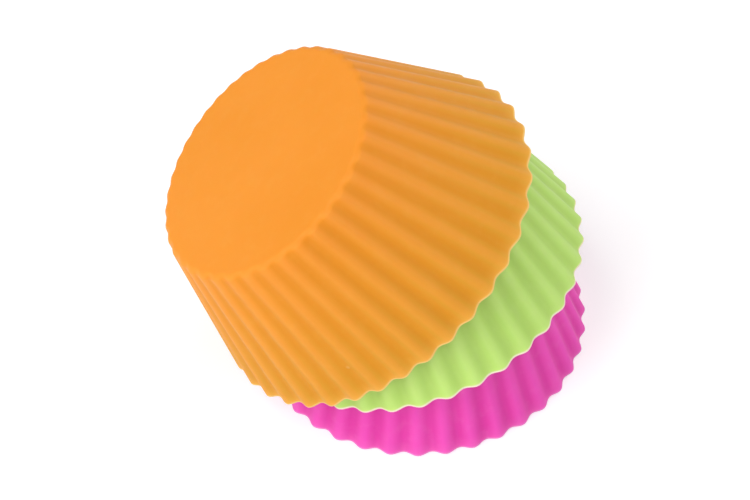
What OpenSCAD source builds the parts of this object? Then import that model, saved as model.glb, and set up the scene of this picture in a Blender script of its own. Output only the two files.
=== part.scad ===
// Three soft fluted baking cups, stacked upside down. The lowest cup stands on its mouth.
// The second hangs over it and leans, and the third hangs over the second and leans further.
// Each cup is drawn with its mouth at height 0 and its base at the top.

/* [Cup] */
// Width across the mouth, midway between ridge and groove
mouth_w = 70; // [62:0.5:80]
// Width across the base, midway between ridge and groove
base_w = 44.6; // [40:0.2:50]
// Height of one cup
cup_h = 30.8; // [27:0.1:36]
// Thickness of the side wall
wall_t = 1; // [0.7:0.1:2]
// Thickness of the base
base_t = 1.2; // [0.8:0.1:3]
// Rounding where the outside of the wall meets the base
corner_r = 0.7; // [0.4:0.1:1.6]
// Bevel around the outside edge of the mouth
lip_bevel = 0.3; // [0.1:0.05:0.5]

/* [Flutes] */
// Number of flutes around each cup
flute_count = 40; // [24:1:44]
// Depth of a flute at the mouth, from ridge to groove
flute_mouth = 0.9; // [0.3:0.1:1.6]
// Depth of a flute at the base, from ridge to groove
flute_base = 0.3; // [0.1:0.05:0.8]

/* [Stack] */
// Clearance between two cups where they meet
seat_gap = 0.3; // [0.1:0.05:0.8]
// Lean of the green cup from upright
green_lean = 16.2; // [10:0.1:20]
// Way that the green cup leans, in degrees from the right
green_way = 171; // [120:1:240]
// How far the green cup lies uphill of its lowest seat
green_ride = 2.5; // [0:0.1:3]
// Turn of the green cup's flutes
green_turn = 6.5; // [0:0.5:9]
// Lean of the orange cup from the green cup
orange_lean = 19.5; // [10:0.5:22]
// Way that the orange cup leans, in degrees from the green cup's own way
orange_way = 39.5; // [0:0.5:90]
// How far the orange cup lies downhill of its lowest seat
orange_ride = 1.6; // [0:0.1:3]
// Turn of the orange cup's flutes
orange_turn = 2; // [0:0.5:9]
// How far the soft mouth of the orange cup is pulled out of round
orange_oval = 1.8; // [0:0.1:2.5]
// Way that the mouth of the orange cup is pulled
orange_oval_way = -18; // [-45:1:45]
// Turn of the pink cup's flutes
pink_turn = 2.5; // [0:0.5:9]

/* [Colours] */
// Colour of the lowest cup
pink_colour = "#df52a7"; // color
// Colour of the middle cup
green_colour = "#b6d676"; // color
// Colour of the top cup
orange_colour = "#f09c38"; // color

/* [Hidden] */
// points along one flute, so that both ridge and groove have a point
flute_steps = 6;
ring_n = flute_count * flute_steps;
mouth_r = mouth_w / 2;
base_r = base_w / 2;
// how much narrower the wall gets with each millimetre of height
draft = (mouth_r - base_r) / cup_h;
// the wall leans, so its thickness measured level is a little more
level_k = sqrt(1 + draft * draft);
// inside rounding, which keeps the wall's thickness around the corner
inner_corner_r = corner_r / 2;
// part of a quarter circle at which the corner has a ring of points
corner_mid = 45;

// Half the depth of the flutes at a height
function flute_at(z) = (flute_mouth + (flute_base - flute_mouth) * z / cup_h) / 2;
// Radius of the outside midway between ridge and groove, at a height
function side_r(z) = mouth_r - draft * z;
// Pull out of round at an angle, full at the mouth and gone at the base
function pull(a, z, oval, oval_way) = oval * cos(2 * (a - oval_way)) * (1 - z / cup_h);

// Rings of the outside, from the mouth to the base: radius and height
function outside() = let (r = side_r(cup_h) - corner_r, w = side_r(cup_h - corner_r) - r) [
    [side_r(0) - lip_bevel, 0],
    [side_r(lip_bevel), lip_bevel],
    [side_r(cup_h - corner_r), cup_h - corner_r],
    [r + w * cos(corner_mid), cup_h - corner_r + corner_r * sin(corner_mid)],
    [r, cup_h]
];
// Rings of the inside, from the base to the mouth
function inside() = let (top = cup_h - base_t, t = wall_t * level_k) [
    [side_r(top) - t - inner_corner_r, top],
    [side_r(top - inner_corner_r) - t, top - inner_corner_r],
    [side_r(0) - t, 0]
];

// Points of one ring
function ring(p, turn, oval, oval_way) = [
    for (i = [0 : ring_n - 1])
        let (
            a = turn + 360 * i / ring_n,
            r = p[0] + flute_at(p[1]) * cos(flute_count * (a - turn)) + pull(a, p[1], oval, oval_way)
        )
        [r * cos(a), r * sin(a), p[1]]
];

// Shell of one cup: the rings are joined one to the next, and the last to the first base to base
function cup_rings() = concat(outside(), inside());
module cup(turn, oval = 0, oval_way = 0) {
    rings = cup_rings();
    out_n = len(outside());
    pts = [for (p = rings) each ring(p, turn, oval, oval_way)];
    function band(lo, hi) = [
        for (i = [0 : ring_n - 1])
            let (j = (i + 1) % ring_n)
            each [
                [lo * ring_n + i, hi * ring_n + i, hi * ring_n + j],
                [lo * ring_n + i, hi * ring_n + j, lo * ring_n + j]
            ]
    ];
    outer_cap = [for (i = [0 : ring_n - 1]) (out_n - 1) * ring_n + ring_n - 1 - i];
    inner_cap = [for (i = [0 : ring_n - 1]) out_n * ring_n + i];
    polyhedron(
        points = pts,
        faces = concat(
            [for (k = [0 : out_n - 2]) each band(k, k + 1)],
            [outer_cap, inner_cap],
            [for (k = [out_n : len(rings) - 2]) each band(k, k + 1)],
            band(len(rings) - 1, 0)
        )
    );
}

// Frame of a cup that leans by some degrees one way: its columns are downhill, across and along its axis
function lean_frame(lean, way) = [
    [cos(lean) * cos(way), -sin(way), sin(lean) * cos(way)],
    [cos(lean) * sin(way), cos(way), sin(lean) * sin(way)],
    [-sin(lean), 0, cos(lean)]
];

// Lines down the ridges of the cup below, seen from the frame of the cup above
line_n = 90;
// places down each line, from the mouth to the base, that are tried against the wall above
line_steps = [0.55, 0.7, 0.8, 0.9, 1];
function tilt_in(p, lean) = [
    p[0] * cos(lean) - p[2] * sin(lean),
    p[1],
    p[0] * sin(lean) + p[2] * cos(lean)
];
function ridge_ring(r, z, lean) = [
    for (i = [0 : line_n - 1])
        let (a = 360 * i / line_n, rr = r + flute_at(z))
        tilt_in([rr * cos(a), rr * sin(a), z], lean)
];

// Narrowest radius inside the cup above, less the clearance, at its mouth and its change with height
inner_mouth_r = mouth_r - flute_mouth / 2 - (wall_t + seat_gap) * level_k;
inner_draft = draft + (flute_base - flute_mouth) / 2 / cup_h;
function mouth_at(a, oval, oval_way) = inner_mouth_r + pull(a, 0, oval, oval_way);
function draft_at(a, oval, oval_way) = inner_draft + pull(a, 0, oval, oval_way) / cup_h;

// Height at which a ridge line of the cup below passes into the mouth above
function entry(p, q, s, oval, oval_way) =
    let (
        x = p[0] - s,
        y = p[1],
        dx = q[0] - p[0],
        dy = q[1] - p[1],
        m = mouth_at(atan2(y, x), oval, oval_way),
        qa = dx * dx + dy * dy,
        qb = 2 * (x * dx + y * dy),
        qc = x * x + y * y - m * m,
        disc = qb * qb - 4 * qa * qc,
        t = disc <= 0 ? 1 : max(0, min(1, (-qb - sqrt(disc)) / (2 * qa)))
    )
    p[2] + t * (q[2] - p[2]);

// Height that the cup above needs for one point of the cup below to clear its wall and its base
function clear(p, s, oval, oval_way) =
    let (
        r = norm([p[0] - s, p[1]]),
        a = atan2(p[1], p[0] - s),
        room = mouth_at(a, oval, oval_way) - r
    )
    max(room < 0 ? p[2] - cup_h : p[2] - room / draft_at(a, oval, oval_way), p[2] - (cup_h - base_t - seat_gap));

// Height along its own axis at which the cup above clears the cup below, for a sideways place s
function height_at(s, mouths, corners, tips, oval, oval_way) = max([
    for (i = [0 : line_n - 1])
        max(
            entry(mouths[i], corners[i], s, oval, oval_way),
            max([
                for (t = line_steps)
                    clear(mouths[i] + t * (corners[i] - mouths[i]), s, oval, oval_way)
            ]),
            clear(tips[i], s, oval, oval_way)
        )
]);
// Sideways place of the lowest seat, by halving in thirds
search_steps = 20;
function lowest(lo, hi, n, m, c, e, oval, oval_way) =
    n == 0 ? (lo + hi) / 2 :
    let (a = lo + (hi - lo) / 3, b = hi - (hi - lo) / 3)
    height_at(a, m, c, e, oval, oval_way) < height_at(b, m, c, e, oval, oval_way)
        ? lowest(lo, b, n - 1, m, c, e, oval, oval_way)
        : lowest(a, hi, n - 1, m, c, e, oval, oval_way);
// Place of a cup on the one below it: sideways downhill, nothing across, and along its axis
function seat(lean, ride, oval = 0, oval_way = 0) =
    let (
        mouths = ridge_ring(side_r(0), 0, lean),
        corners = ridge_ring(outside()[2][0], outside()[2][1], lean),
        tips = ridge_ring(outside()[3][0], outside()[3][1], lean),
        s = lowest(-base_r / 2, base_r / 2, search_steps, mouths, corners, tips, oval, oval_way) + ride
    )
    [s, 0, height_at(s, mouths, corners, tips, oval, oval_way)];

green_frame = lean_frame(green_lean, green_way);
green_at = green_frame * seat(green_lean, -green_ride);
orange_frame = green_frame * lean_frame(orange_lean, orange_way);
orange_at = green_at + orange_frame * seat(orange_lean, orange_ride, orange_oval, orange_oval_way);

// All the outside points, for the middle of the stack
stack_pts = [
    for (p = outside()) each concat(
        ring(p, pink_turn, 0, 0),
        [for (q = ring(p, green_turn, 0, 0)) green_at + green_frame * q],
        [for (q = ring(p, orange_turn, orange_oval, orange_oval_way)) orange_at + orange_frame * q]
    )
];
function middle(k) = let (v = [for (p = stack_pts) p[k]]) (min(v) + max(v)) / 2;
stack_mid = [middle(0), middle(1), 0];

// Puts what follows into a cup's frame
module in_frame(m, at) {
    multmatrix([
        [m[0][0], m[0][1], m[0][2], at[0] - stack_mid[0]],
        [m[1][0], m[1][1], m[1][2], at[1] - stack_mid[1]],
        [m[2][0], m[2][1], m[2][2], at[2] - stack_mid[2]],
        [0, 0, 0, 1]
    ]) children();
}

module pink_cup() {
    color(pink_colour) translate(-stack_mid) cup(pink_turn);
}
module green_cup() {
    color(green_colour) in_frame(green_frame, green_at) cup(green_turn);
}
module orange_cup() {
    color(orange_colour) in_frame(orange_frame, orange_at) cup(orange_turn, orange_oval, orange_oval_way);
}

pink_cup();
green_cup();
orange_cup();
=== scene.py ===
import math

import bpy
import numpy as np
from mathutils import Matrix, Vector


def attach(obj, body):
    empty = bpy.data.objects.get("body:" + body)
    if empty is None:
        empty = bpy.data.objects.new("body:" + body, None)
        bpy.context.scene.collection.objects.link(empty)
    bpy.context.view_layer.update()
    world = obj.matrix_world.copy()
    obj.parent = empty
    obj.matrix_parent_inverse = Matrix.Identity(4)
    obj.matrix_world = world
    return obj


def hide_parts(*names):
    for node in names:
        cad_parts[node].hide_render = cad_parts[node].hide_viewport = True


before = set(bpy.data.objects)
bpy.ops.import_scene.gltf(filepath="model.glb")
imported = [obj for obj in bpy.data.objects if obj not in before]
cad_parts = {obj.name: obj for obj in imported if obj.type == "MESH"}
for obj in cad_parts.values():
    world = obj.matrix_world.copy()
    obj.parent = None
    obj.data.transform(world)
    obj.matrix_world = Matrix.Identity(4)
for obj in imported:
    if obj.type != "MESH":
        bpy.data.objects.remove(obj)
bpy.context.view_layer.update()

mm = 0.001

# where the photograph was taken from: place in metres, angles in degrees, lens and sensor in millimetres
# the photograph is cut from a wider one, so the lens's axis passes up and right of its middle
photoView = {
    "place": (0.000402, -0.131727, 0.169553),
    "azimuth": -6.114,
    "elevation": 46.621,
    "roll": 1.021,
    "lens": 47.116,
    "sensor": 36,
    "shift": (-0.12, -0.0467),
    "near": 0.01,
    "far": 20,
}


def aimCamera(view):
    # forward comes from azimuth and elevation, then right and down are turned about it by the roll
    az, el, roll = (math.radians(view[k]) for k in ("azimuth", "elevation", "roll"))
    forward = Vector((-math.sin(az) * math.cos(el), math.cos(az) * math.cos(el), -math.sin(el)))
    level = forward.cross(Vector((0, 0, 1))).normalized()
    down = forward.cross(level)
    right = math.cos(roll) * level + math.sin(roll) * down
    up = right.cross(forward)
    data = bpy.data.cameras.new("photoCamera")
    data.lens = view["lens"]
    data.sensor_width = view["sensor"]
    data.shift_x, data.shift_y = view["shift"]
    data.clip_start, data.clip_end = view["near"], view["far"]
    camera = bpy.data.objects.new("photoCamera", data)
    turn = Matrix((right, up, -forward)).transposed().to_4x4()
    camera.matrix_world = Matrix.Translation(view["place"]) @ turn
    bpy.context.scene.collection.objects.link(camera)
    bpy.context.scene.camera = camera
    print("camera aimed")


aimCamera(photoView)

# one cup, mouth down, in millimetres; every cup came out of the same mould
cupMould = {
    "mouthRadius": 35.0,
    "baseRadius": 22.3,
    "height": 30.8,
    "wall": 1.0,
    "baseThickness": 1.2,
    "corner": 0.7,
    # how far the corner's curve is drawn in, to stay within the facets of the CAD
    "cornerDrawIn": 0.22,
    "lip": 0.3,
    "flutes": 40,
    "fluteMouth": 0.9,
    "fluteBase": 0.3,
    # the base is plain out to this radius, and the flutes rise over the width after it
    "plainRadius": 17.0,
    "riseWidth": 3.5,
    "stepsPerFlute": 12,
    # radii of the rows on the flat of the base, outside and inside, and one this far in from the corner
    "flatRows": (4, 9, 14, 18, 20),
    "innerFlatRows": (20, 17, 13, 8, 4),
    "flatMargin": 0.3,
    # rows up the wall, the lowest of them, and the closer ones below it for the thin line of the lip
    "wallRows": 28,
    "wallRowsEnd": 1.6,
    "lipRows": (1.2, 0.9, 0.75, 0.6, 0.45),
    "innerRows": 22,
    "cornerRows": 9,
    "bevelRows": 5,
    "roundRows": 6,
    # the inside edge of the lip is rounded over this much of the lip's bevel
    "innerLip": 0.7,
    # the ridges' painted light and the grooves' painted shade are marked up to this far below the base's face, and
    # fade in over this much
    "ridgeTop": 0.15,
    "ridgeSoft": 0.4,
    # the lip's thin pale line, a painted highlight, ends at this height, over this much, and the painted glow of
    # light above the lip dies out over the third
    "lineTop": 0.66,
    "lineSoft": 0.22,
    "glowHeight": 1.6,
}


def fluteDepth(z, m):
    # half the depth of the flutes, straight from the mouth's value to the base's
    return (m["fluteMouth"] + (m["fluteBase"] - m["fluteMouth"]) * z / m["height"]) / 2


def quarter(start, end, bulge, count):
    # a quarter of an ellipse from start to end, whose corner is at bulge
    t = np.linspace(0, np.pi / 2, count)[:, None]
    s, e, b = np.array(start), np.array(end), np.array(bulge)
    return b + (s - b) * (1 - np.sin(t)) + (e - b) * (1 - np.cos(t))


def cupProfile(m):
    # radius and height along the shell: outside from the middle of the base to the lip,
    # then inside back to the middle
    h, rm, rb, c, lip = m["height"], m["mouthRadius"], m["baseRadius"], m["corner"], m["lip"]
    draft = (rm - rb) / h
    levelWall = m["wall"] * math.hypot(1, draft)
    side = lambda z: rm - draft * z
    top = h - m["baseThickness"]
    inset, innerCorner = m["cornerDrawIn"], c / 2
    flat = np.array([[r, h] for r in m["flatRows"] + (rb - c - m["flatMargin"],)])
    corner = quarter((rb - c, h), (side(h - c), h - c), (side(h - c) - inset, h - inset), m["cornerRows"])
    z = np.append(np.linspace(h - c, m["wallRowsEnd"], m["wallRows"])[1:], m["lipRows"])
    wall = np.stack([side(z), z], 1)
    lipOut = np.linspace((side(lip), lip), (rm - lip, 0), m["bevelRows"])
    start, end = (rm - levelWall + lip * m["innerLip"], 0), (side(lip) - levelWall, lip)
    lipIn = quarter(start, end, (rm - levelWall, 0), m["roundRows"])
    z = np.linspace(lip, top - innerCorner, m["innerRows"])[1:-1]
    inner = np.stack([side(z) - levelWall, z], 1)
    start, end = (side(top - innerCorner) - levelWall, top - innerCorner), (side(top) - levelWall - innerCorner, top)
    turn = quarter(start, end, (side(top) - levelWall, top), m["roundRows"])
    innerFlat = np.array([[r, top] for r in m["innerFlatRows"]])
    return np.concatenate([flat, corner, wall, lipOut, lipIn, inner, turn, innerFlat])


def cupSurface(name, m, cup):
    # a point is (r, angle, z): r is the profile's radius, plus the flute's wave,
    # plus the soft mouth's pull out of round
    profile = cupProfile(m)
    r0, z0 = profile[:, 0][:, None], profile[:, 1][:, None]
    n = m["flutes"] * m["stepsPerFlute"]
    a = math.radians(cup["turn"]) + np.linspace(0, 2 * np.pi, n, endpoint=False)[None, :]
    wave = np.cos(m["flutes"] * (a - math.radians(cup["turn"])))
    # both die out over the flat of the base
    fade = np.clip((r0 - m["plainRadius"]) / m["riseWidth"], 0, 1)
    pull = cup["oval"] * np.cos(2 * (a - math.radians(cup["ovalWay"]))) * (1 - z0 / m["height"])
    r = r0 + fluteDepth(z0, m) * wave * fade + pull * fade
    grid = np.stack([r * np.cos(a), r * np.sin(a), np.broadcast_to(z0, r.shape)], 2)
    rows = len(profile)
    poles = np.array([[0, 0, m["height"]], [0, 0, m["height"] - m["baseThickness"]]])
    points = np.concatenate([grid.reshape(-1, 3), poles])
    # into place: the columns of a cup's axes are downhill, across and along it
    points = (points @ np.array(cup["axes"]).T + np.array(cup["place"])) * mm

    i = np.arange(rows - 1)[:, None] * n
    j = np.arange(n)[None, :]
    k = (j + 1) % n
    quads = np.stack([i + j, i + n + j, i + n + k, i + k], 2).reshape(-1, 4)
    j, k = j[0], k[0]
    first = np.stack([np.full(n, rows * n), j, k], 1)
    last = np.stack([(rows - 1) * n + k, (rows - 1) * n + j, np.full(n, rows * n + 1)], 1)
    mesh = bpy.data.meshes.new(name)
    mesh.from_pydata(points.tolist(), [], quads.tolist() + first.tolist() + last.tolist())
    mesh.polygons.foreach_set("use_smooth", np.ones(len(mesh.polygons), bool))

    # what the finish reads, each with its value at the two middles of the base:
    # ridge or groove up to the base's corner for painted light and shade, the thin lip for a painted highlight, the
    # painted glow just above it, and height up the wall
    marks = {
        "ridge": (wave * np.clip((m["height"] - m["ridgeTop"] - z0) / m["ridgeSoft"], 0, 1), 0),
        "lip": (np.clip((m["lineTop"] - z0) / m["lineSoft"], 0, 1), 0),
        "glow": (np.exp(-((z0 / m["glowHeight"]) ** 2)), 0),
        "up": (z0 / m["height"], 1),
    }
    for key, (values, middle) in marks.items():
        values = np.append(np.broadcast_to(values, r.shape).reshape(-1), [middle, middle])
        mesh.attributes.new(key, "FLOAT", "POINT").data.foreach_set("value", values.astype(np.float32))
    mesh.update()
    piece = bpy.data.objects.new(name, mesh)
    bpy.context.scene.collection.objects.link(piece)
    print(name, "made:", len(points), "points")
    return piece


def seat(piece, node, finish):
    piece.data.materials.append(finish)
    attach(piece, "root")
    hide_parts(node)


def srgb(r, g, b):
    # screen values, 0 to 255, to linear light
    c = np.array([r, g, b]) / 255
    return tuple(np.where(c <= 0.04045, c / 12.92, ((c + 0.055) / 1.055) ** 2.4).tolist()) + (1,)


def addNode(tree, kind, feeds=None, **settings):
    # each feed is a fixed value, or the output of another node
    made = tree.nodes.new(kind)
    for key, value in settings.items():
        setattr(made, key, value)
    for key, value in (feeds or {}).items():
        if isinstance(value, bpy.types.NodeSocket):
            tree.links.new(value, made.inputs[key])
        else:
            made.inputs[key].default_value = value
    return made


def clearTree(owner):
    owner.use_nodes = True
    owner.node_tree.nodes.clear()
    return owner.node_tree


# the moulded skin of every cup; scales are per metre, and a bump is scale, strength and height in metres
cupSkin = {
    "cloudScale": 55,
    "bloomScale": 420,
    "bloomShade": 0.10,
    "roughScale": 260,
    "roughness": (0.44, 0.52),
    "fineRoughScale": 3200,
    "fineRoughness": 0.03,
    "peel": (650, 0.25, 0.00012),
    "grain": (5200, 0.22, 0.00003),
    "pipRadius": 0.0005,
    "pipTop": 0.0001,
    "pipShade": 0.22,
    "pipBump": (0.6, 0.0002),
    "ior": 1.42,
    "specular": 0.16,
    "scatter": 0.25,
    "scatterScale": 0.0012,
}


def silicone(name, look, skin):
    mat = bpy.data.materials.new(name)
    tree = clearTree(mat)
    place = addNode(tree, "ShaderNodeTexCoord").outputs["Object"]

    def noise(scale, detail, roughness=0.5):
        feeds = {"Vector": place, "Scale": scale, "Detail": detail, "Roughness": roughness}
        return addNode(tree, "ShaderNodeTexNoise", feeds).outputs["Fac"]

    def ramp(source, low, high, outLow=0.0, outHigh=1.0):
        feeds = {"Value": source, "From Min": low, "From Max": high, "To Min": outLow, "To Max": outHigh}
        return addNode(tree, "ShaderNodeMapRange", feeds).outputs["Result"]

    def mark(key):
        return addNode(tree, "ShaderNodeAttribute", attribute_name=key).outputs["Fac"]

    def mix(factor, a, b):
        return addNode(tree, "ShaderNodeMix", {0: factor, 6: a, 7: b}, data_type="RGBA").outputs[2]

    def maths(operation, a, b):
        return addNode(tree, "ShaderNodeMath", {0: a, 1: b}, operation=operation).outputs[0]

    def bump(height, strength, distance, below=None):
        feeds = {"Height": height, "Strength": strength, "Distance": distance}
        if below:
            feeds["Normal"] = below
        return addNode(tree, "ShaderNodeBump", feeds).outputs["Normal"]

    # cloudy variation of the pigment, and painted light and shade towards the mouth: olive and a little darker, as
    # where the green cup inside lights the wall through
    colour = mix(ramp(noise(skin["cloudScale"], 3), 0.35, 0.65), look["deep"], look["base"])
    # painted light and shade: the mouth's colour grows with height up the wall
    colour = mix(ramp(mark("up"), 1, 0, 0, look["mouthLightShade"]), colour, look["mouth"])
    # painted shade in the grooves and painted light on the ridges
    colour = mix(ramp(mark("ridge"), -0.7, 0.15, look["grooveShade"], 0), colour, look["groove"])
    colour = mix(ramp(mark("ridge"), 0.15, 0.8, 0, look["ridgeLightShade"]), colour, look["ridge"])
    # a dusty bloom in small soft patches
    colour = mix(ramp(noise(skin["bloomScale"], 4, 0.6), 0.5, 0.8, 0, skin["bloomShade"]), colour, look["bloom"])
    # painted light just above the lip, as of light coming through, and a painted highlight along the lip as a thin
    # pale line
    colour = mix(ramp(mark("glow"), 0, 1, 0, look["glowLightShade"]), colour, look["glowLight"])
    colour = mix(ramp(mark("lip"), 0, 1, 0, look["lipHighlightShade"]), colour, look["lip"])

    fine = skin["fineRoughness"]
    broadRough = ramp(noise(skin["roughScale"], 3), 0.3, 0.7, *skin["roughness"])
    fineRough = ramp(noise(skin["fineRoughScale"], 2), 0.3, 0.7, -fine, fine)

    # moulded skin: shallow orange peel about a millimetre across, and a fine powdery grain
    scale, strength, distance = skin["peel"]
    normal = bump(noise(scale, 2), strength, distance)
    scale, strength, distance = skin["grain"]
    normal = bump(noise(scale, 2, 0.6), strength, distance, normal)
    if "pip" in look:
        # a small moulding pip on the wall, raised and paler in its middle
        away = addNode(tree, "ShaderNodeVectorMath", {0: place, 1: look["pip"]}, operation="DISTANCE")
        bead = ramp(away.outputs["Value"], skin["pipRadius"], skin["pipTop"])
        colour = mix(maths("MULTIPLY", bead, skin["pipShade"]), colour, look["lip"])
        normal = bump(bead, *skin["pipBump"], normal)

    feeds = {
        "Base Color": colour,
        "Roughness": maths("ADD", broadRough, fineRough),
        "Normal": normal,
        "IOR": skin["ior"],
        "Specular IOR Level": skin["specular"],
        "Subsurface Weight": skin["scatter"],
        "Subsurface Radius": look["scatterRadius"],
        "Subsurface Scale": skin["scatterScale"],
    }
    shader = addNode(tree, "ShaderNodeBsdfPrincipled", feeds)
    addNode(tree, "ShaderNodeOutputMaterial", {"Surface": shader.outputs[0]})
    return mat


pinkCup = {
    "turn": 2.5,
    "oval": 0,
    "ovalWay": 0,
    "axes": ((1, 0, 0), (0, 1, 0), (0, 0, 1)),
    "place": (4.8259, 0.0776, 0),
    "look": {
        "base": srgb(239, 81, 184),
        "deep": srgb(234, 73, 178),
        "groove": srgb(214, 44, 150),
        "grooveShade": 0.4,
        "ridge": srgb(250, 92, 200),
        "ridgeLightShade": 0.35,
        "bloom": srgb(244, 150, 208),
        "mouth": srgb(243, 72, 184),
        "mouthLightShade": 0,
        "glowLight": srgb(255, 120, 205),
        "glowLightShade": 0.4,
        "lip": srgb(244, 170, 218),
        "lipHighlightShade": 0.6,
        "scatterRadius": (1.0, 0.35, 0.6),
    },
}
pinkPiece = cupSurface("pinkCup", cupMould, pinkCup)
seat(pinkPiece, "pink_cup", silicone("pinkSilicone", pinkCup["look"], cupSkin))

greenCup = {
    "turn": 6.5,
    "oval": 0,
    "ovalWay": 0,
    "axes": ((-0.948471, -0.156434, -0.275556), (0.150223, -0.987688, 0.043644), (-0.278991, 0, 0.960294)),
    "place": (4.06409, 0.198291, 16.0012),
    "look": {
        "base": srgb(191, 226, 121),
        "deep": srgb(186, 222, 114),
        "groove": srgb(170, 204, 100),
        "grooveShade": 0.38,
        "ridge": srgb(208, 239, 142),
        "ridgeLightShade": 0.3,
        "bloom": srgb(214, 236, 160),
        "mouth": srgb(198, 232, 121),
        "mouthLightShade": 0,
        "glowLight": srgb(206, 238, 128),
        "glowLightShade": 0.3,
        "lip": srgb(255, 236, 220),
        "lipHighlightShade": 0.95,
        "scatterRadius": (0.7, 1.0, 0.3),
    },
}
greenPiece = cupSurface("greenCup", cupMould, greenCup)
seat(greenPiece, "green_cup", silicone("greenSilicone", greenCup["look"], cupSkin))

orangeCup = {
    "turn": 2,
    "oval": 1.8,
    "ovalWay": -18,
    "axes": ((-0.691699, 0.482593, -0.537267), (-0.497513, -0.857678, -0.129879), (-0.523481, 0.177460, 0.833352)),
    "place": (-4.73326, -1.98894, 29.3541),
    "look": {
        "base": srgb(240, 150, 52),
        "deep": srgb(237, 147, 46),
        "groove": srgb(220, 133, 10),
        "grooveShade": 0.36,
        "ridge": srgb(248, 160, 70),
        "ridgeLightShade": 0.26,
        "bloom": srgb(244, 176, 88),
        "mouth": srgb(204, 161, 44),
        "mouthLightShade": 0.6,
        "glowLight": srgb(255, 188, 84),
        "glowLightShade": 0.42,
        "lip": srgb(255, 226, 150),
        "lipHighlightShade": 0.6,
        "pip": (-0.00968, -0.03312, 0.02948),
        "scatterRadius": (1.0, 0.5, 0.15),
    },
}
orangePiece = cupSurface("orangeCup", cupMould, orangeCup)
seat(orangePiece, "orange_cup", silicone("orangeSilicone", orangeCup["look"], cupSkin))

studio = {
    "floorSize": 3.0,
    "floorDrop": 0.00005,
    "floorColour": (0.80, 0.80, 0.80, 1),
    # how much white is added to the floor by the stack, and where that starts to rise and reaches full white
    "floorLift": 0.36,
    "liftNear": 0.12,
    "liftFar": 0.7,
    "skyLevel": 0.15,
    "lampSize": 0.60,
    "lampTarget": (0, 0, 0.03),
    # each lamp: place and power in watts
    "lamps": {
        "keyLamp": ((-0.40, -0.10, 0.70), 2.74),
        "leftLamp": ((-0.60, -0.42, 0.30), 2.62),
        "frontLamp": ((0.00, -0.55, 0.58), 1.43),
        "rightLamp": ((0.55, -0.40, 0.42), 1.54),
        "backLamp": ((0.50, 0.40, 0.50), 2.00),
    },
}
white = (1, 1, 1, 1)


def seenDirectly(tree):
    # one where the eye, a reflection or a see-through ray meets it, and nought for the light on the object
    path = addNode(tree, "ShaderNodeLightPath")
    total = path.outputs["Is Camera Ray"]
    for key in ("Is Glossy Ray", "Is Transmission Ray"):
        total = addNode(tree, "ShaderNodeMath", {0: total, 1: path.outputs[key]}, operation="MAXIMUM").outputs[0]
    return total


def makeSky(level):
    world = bpy.data.worlds.new("studioSky")
    bpy.context.scene.world = world
    tree = clearTree(world)
    light = addNode(tree, "ShaderNodeBackground", {"Color": white, "Strength": level})
    shown = addNode(tree, "ShaderNodeBackground", {"Color": white, "Strength": 1})
    both = addNode(tree, "ShaderNodeMixShader", {0: seenDirectly(tree), 1: light.outputs[0], 2: shown.outputs[0]})
    addNode(tree, "ShaderNodeOutputWorld", {"Surface": both.outputs[0]})


def makeFloor(room):
    half = room["floorSize"] / 2
    mesh = bpy.data.meshes.new("studioFloor")
    mesh.from_pydata([(-half, -half, 0), (half, -half, 0), (half, half, 0), (-half, half, 0)], [], [(0, 1, 2, 3)])
    floor = bpy.data.objects.new("studioFloor", mesh)
    bpy.context.scene.collection.objects.link(floor)
    floor.location.z = -room["floorDrop"]
    mat = bpy.data.materials.new("floorPaint")
    tree = clearTree(mat)
    paint = addNode(tree, "ShaderNodeBsdfDiffuse", {"Color": room["floorColour"]})
    # lifts the paper to white for the eye alone, more with distance, and keeps the shadow
    place = addNode(tree, "ShaderNodeTexCoord").outputs["Object"]
    distance = addNode(tree, "ShaderNodeVectorMath", {0: place}, operation="LENGTH").outputs["Value"]
    feeds = {"Value": distance, "From Min": room["liftNear"], "From Max": room["liftFar"]}
    feeds.update({"To Min": room["floorLift"], "To Max": 1})
    rise = addNode(tree, "ShaderNodeMapRange", feeds).outputs["Result"]
    strength = addNode(tree, "ShaderNodeMath", {0: seenDirectly(tree), 1: rise}, operation="MULTIPLY")
    lift = addNode(tree, "ShaderNodeEmission", {"Strength": strength.outputs[0]})
    both = addNode(tree, "ShaderNodeAddShader", {0: paint.outputs[0], 1: lift.outputs[0]})
    addNode(tree, "ShaderNodeOutputMaterial", {"Surface": both.outputs[0]})
    floor.data.materials.append(mat)


def makeLamp(name, place, power, room):
    data = bpy.data.lights.new(name, "AREA")
    data.shape = "DISK"
    data.size = room["lampSize"]
    data.energy = power
    lamp = bpy.data.objects.new(name, data)
    bpy.context.scene.collection.objects.link(lamp)
    lamp.location = place
    lamp.rotation_mode = "QUATERNION"
    lamp.rotation_quaternion = (Vector(room["lampTarget"]) - Vector(place)).to_track_quat("-Z", "Y")


makeSky(studio["skyLevel"])
makeFloor(studio)
for lampName, (place, power) in studio["lamps"].items():
    makeLamp(lampName, place, power, studio)
bpy.context.scene.view_settings.view_transform = "Standard"
print("studio lit")
